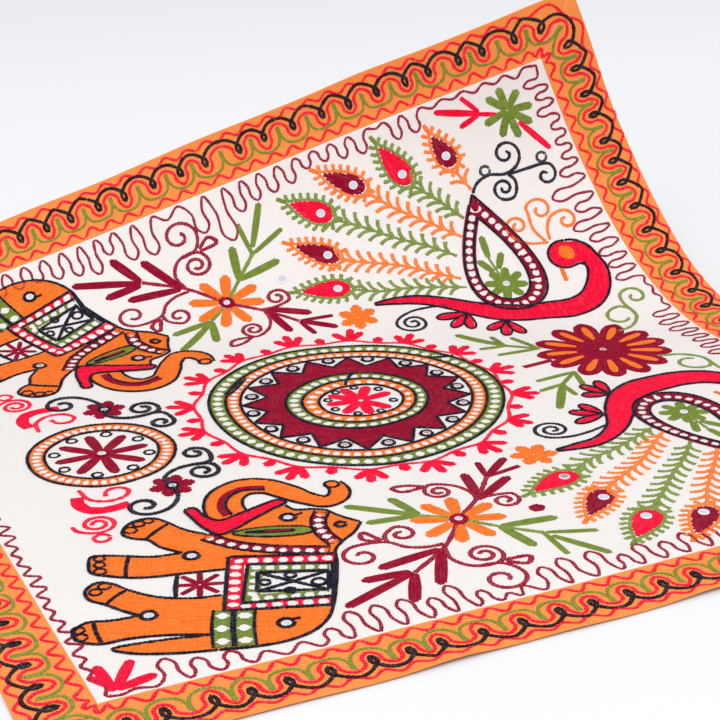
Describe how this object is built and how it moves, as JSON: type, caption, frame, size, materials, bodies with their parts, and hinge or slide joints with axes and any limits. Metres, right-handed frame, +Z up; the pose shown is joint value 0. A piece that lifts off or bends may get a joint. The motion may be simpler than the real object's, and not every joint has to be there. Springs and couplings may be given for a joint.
{
  "type": "tapestry",
  "caption": "Square embroidered cotton hanging with a cream panel, orange border strips and small sewn mirrors, lying flat with its far side curled up.",
  "frame": {"origin": "under the middle of the cream panel, on the flat underside that the cloth lies on", "axes": "+X along the near hem to the right, +Y towards the far hem, +Z up, away from the surface"},
  "size_m": [0.9107, 0.9146, 0.3261],
  "materials": {
    "cream_cotton": "plain woven cream cotton, matt",
    "orange_cotton": "plain woven orange cotton, matt",
    "mirror_glass": "small silvered glass discs",
    "red_thread": "red cotton embroidery thread, soft sheen",
    "maroon_thread": "maroon cotton embroidery thread, soft sheen",
    "orange_thread": "orange cotton embroidery thread, soft sheen",
    "green_thread": "green cotton embroidery thread, soft sheen",
    "black_thread": "blue-black cotton embroidery thread, soft sheen"
  },
  "bodies": {
    "root": {"panel": "cream_cotton", "border_far": "orange_cotton", "border_left": "orange_cotton", "border_near": "orange_cotton", "border_right": "orange_cotton", "mirror_star_01": "mirror_glass", "mirror_star_02": "mirror_glass", "mirror_star_03": "mirror_glass", "mirror_star_04": "mirror_glass", "mirror_star_05": "mirror_glass", "mirror_star_06": "mirror_glass", "mirror_star_07": "mirror_glass", "mirror_star_08": "mirror_glass", "mirror_star_09": "mirror_glass", "mirror_star_10": "mirror_glass", "mirror_star_11": "mirror_glass", "mirror_star_12": "mirror_glass", "mirror_star_13": "mirror_glass", "mirror_star_14": "mirror_glass", "mirror_star_15": "mirror_glass", "mirror_star_16": "mirror_glass", "mirror_feather_1_far": "mirror_glass", "mirror_feather_1_near": "mirror_glass", "mirror_feather_2_far": "mirror_glass", "mirror_feather_2_near": "mirror_glass", "mirror_feather_3_far": "mirror_glass", "mirror_feather_3_near": "mirror_glass", "mirror_feather_4_far": "mirror_glass", "mirror_feather_4_near": "mirror_glass", "mirror_feather_5_far": "mirror_glass", "mirror_feather_5_near": "mirror_glass", "mirror_feather_6_far": "mirror_glass", "mirror_feather_6_near": "mirror_glass", "mirror_wing_flower_far": "mirror_glass", "mirror_wing_flower_near": "mirror_glass", "mirror_spray_flower_far": "mirror_glass", "mirror_spray_flower_near": "mirror_glass", "mirror_scroll_flower_far": "mirror_glass", "mirror_scroll_flower_near": "mirror_glass", "mirror_eye_far": "mirror_glass", "mirror_eye_near": "mirror_glass", "mirror_front_knee_far": "mirror_glass", "mirror_front_knee_near": "mirror_glass", "mirror_back_knee_far": "mirror_glass", "mirror_back_knee_near": "mirror_glass", "mirror_rump_far": "mirror_glass", "mirror_rump_near": "mirror_glass", "mirror_wheel": "mirror_glass", "mirror_great_flower": "mirror_glass", "mirror_lone": "mirror_glass"}
  },
  "joints": []
}
